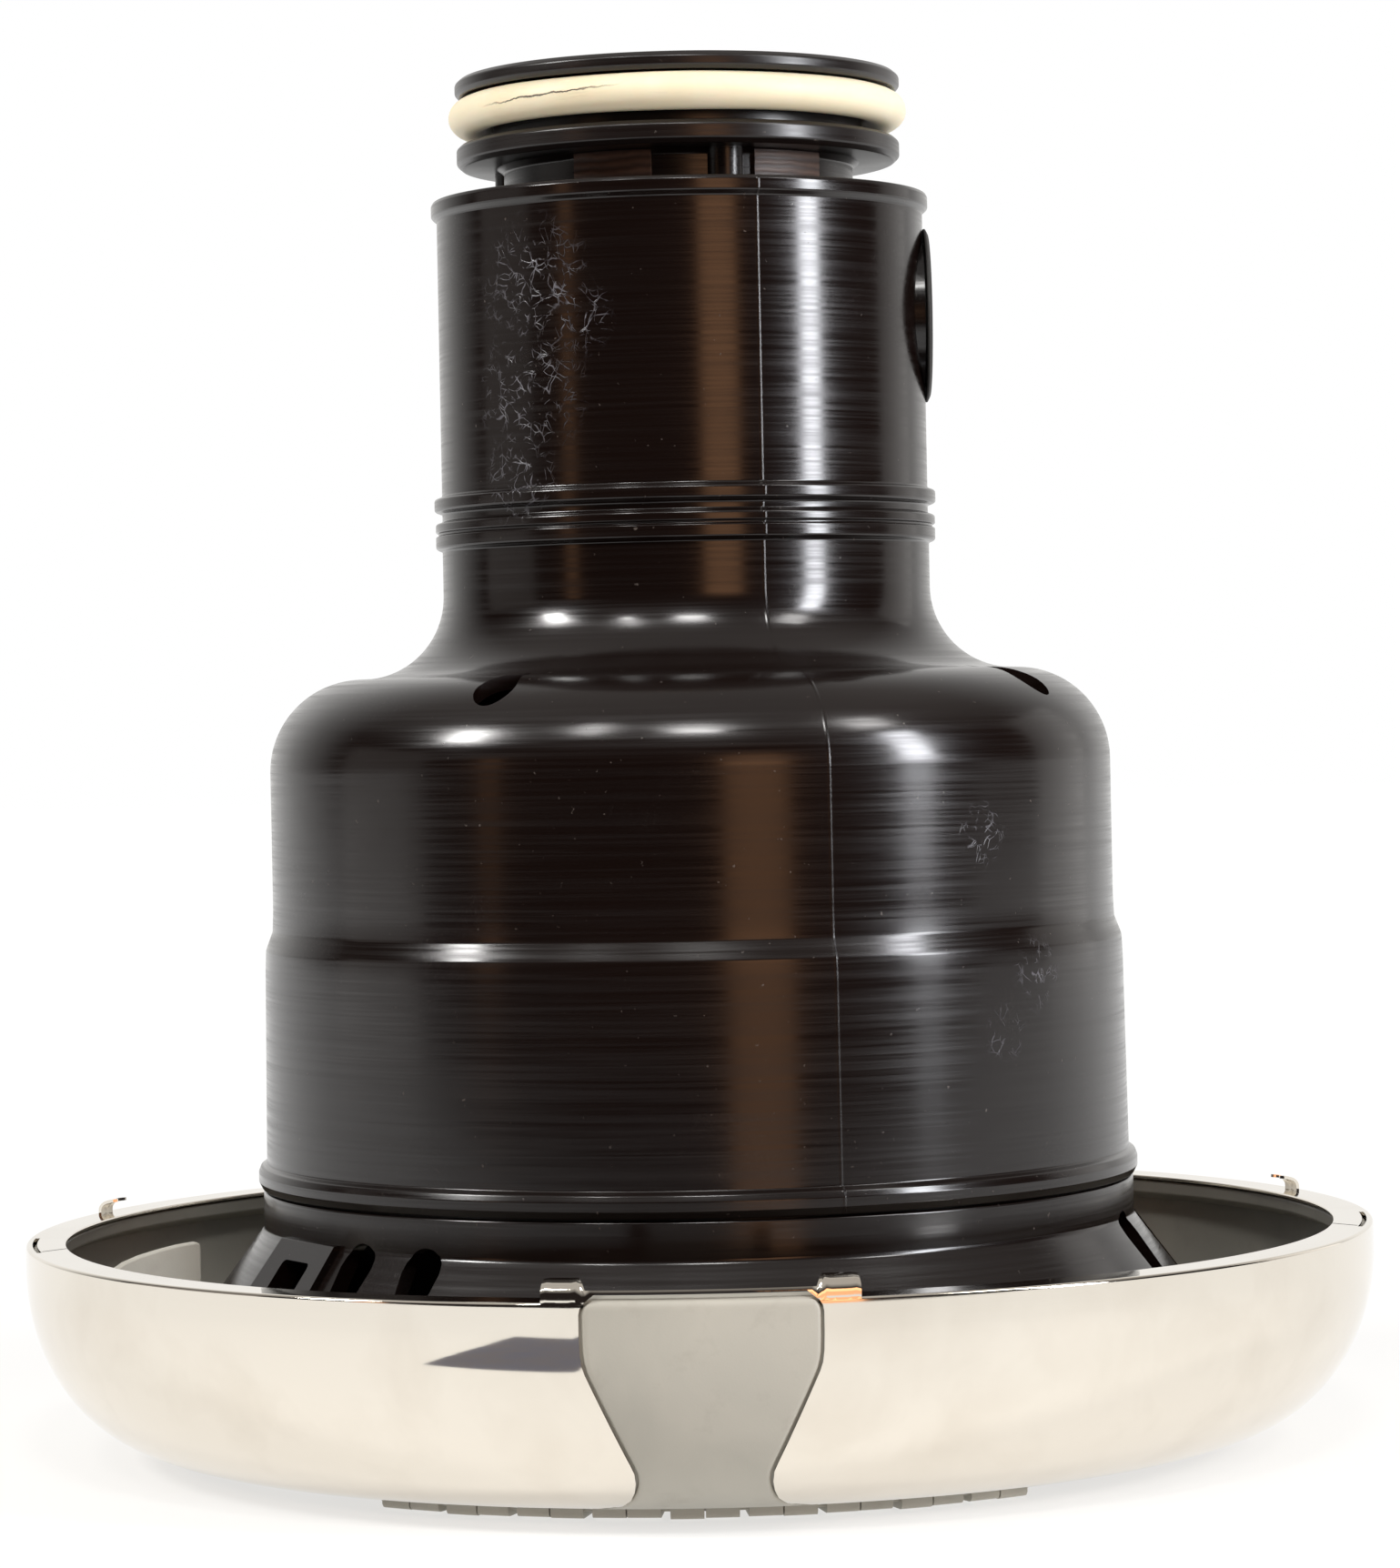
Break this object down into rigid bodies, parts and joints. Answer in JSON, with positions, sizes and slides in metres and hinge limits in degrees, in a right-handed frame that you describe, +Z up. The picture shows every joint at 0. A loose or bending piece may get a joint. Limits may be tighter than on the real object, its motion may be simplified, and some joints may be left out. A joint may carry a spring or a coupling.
{
  "type": "food waste disposer",
  "caption": "Under-sink food waste disposer: sink-mount neck with sealing ring, side outlet, motor casing on a vented skirt, in a polished steel dish.",
  "frame": {"origin": "on the turning axis, in the plane of the feet", "axes": "+Z up along the turning axis, -Y towards the front window of the steel shell, +X towards the waste outlet"},
  "size_m": [0.2936, 0.2936, 0.2988],
  "materials": {
    "black_plastic": "glossy moulded, slightly scuffed",
    "cream_rubber": "satin",
    "black_rubber": "matt",
    "stainless_steel": "brushed",
    "polished_steel": "mirror polished",
    "grey_plastic": "fine matt mould texture",
    "lamination_steel": "stacked laminations, varnished",
    "copper_winding": "enamelled wire",
    "cast_aluminium": "as cast",
    "bronze_bush": "sintered",
    "natural_nylon": "moulded",
    "red_plastic": "moulded"
  },
  "bodies": {
    "housing": {"mounting_neck": "black_plastic", "mount_seal_ring": "cream_rubber", "splash_guard": "black_rubber", "body_shell": "black_plastic", "outlet_gasket": "black_rubber", "chamber_gasket": "black_rubber", "grind_liner": "stainless_steel", "shredder_ring": "stainless_steel", "upper_end_frame": "cast_aluminium", "shaft_seal": "black_rubber", "upper_bush": "bronze_bush", "stator_core": "lamination_steel", "winding_upper": "copper_winding", "winding_lower": "copper_winding", "lower_end_frame": "cast_aluminium", "lower_bush": "bronze_bush", "lower_skirt": "black_plastic", "bottom_cover": "black_plastic", "overload_protector": "black_plastic", "reset_spring": "stainless_steel", "start_capacitor": "black_plastic", "terminal_block": "natural_nylon", "earth_screw": "stainless_steel", "trim_shell": "polished_steel", "base_dish": "grey_plastic", "foot_pad_front": "grey_plastic", "foot_pad_rear": "grey_plastic", "tie_bolt_1": "stainless_steel", "dish_screw_1": "stainless_steel", "tie_bolt_2": "stainless_steel", "dish_screw_2": "stainless_steel", "tie_bolt_3": "stainless_steel", "dish_screw_3": "stainless_steel", "tie_bolt_4": "stainless_steel", "dish_screw_4": "stainless_steel"},
    "rotor": {"motor_shaft": "stainless_steel", "turntable": "stainless_steel", "turntable_nut": "stainless_steel", "lug_pin_a": "stainless_steel", "lug_pin_b": "stainless_steel", "rotor_core": "lamination_steel", "cooling_fan": "natural_nylon", "water_slinger": "black_rubber", "thrust_washer": "bronze_bush"},
    "hammer_a": {"swivel_lug_a": "stainless_steel"},
    "hammer_b": {"swivel_lug_b": "stainless_steel"},
    "button": {"reset_button": "red_plastic"}
  },
  "joints": [
    {"name": "rotor_spin", "type": "hinge", "parent": "housing", "child": "rotor", "pos_m": [0, 0, 0.2], "axis": [0, 0, 1], "continuous": true},
    {"name": "hammer_a_swivel", "type": "hinge", "parent": "rotor", "child": "hammer_a", "pos_m": [0.022, 0, 0.2], "axis": [0, 0, 1], "continuous": true},
    {"name": "hammer_b_swivel", "type": "hinge", "parent": "rotor", "child": "hammer_b", "pos_m": [-0.022, 0, 0.2], "axis": [0, 0, 1], "continuous": true},
    {"name": "reset_press", "type": "slide", "parent": "housing", "child": "button", "axis": [0, 0, 1], "range_m": [0, 0.0025], "stiffness_N_per_m": 400, "springref_m": -0.001, "deforming": ["reset_spring"]}
  ]
}
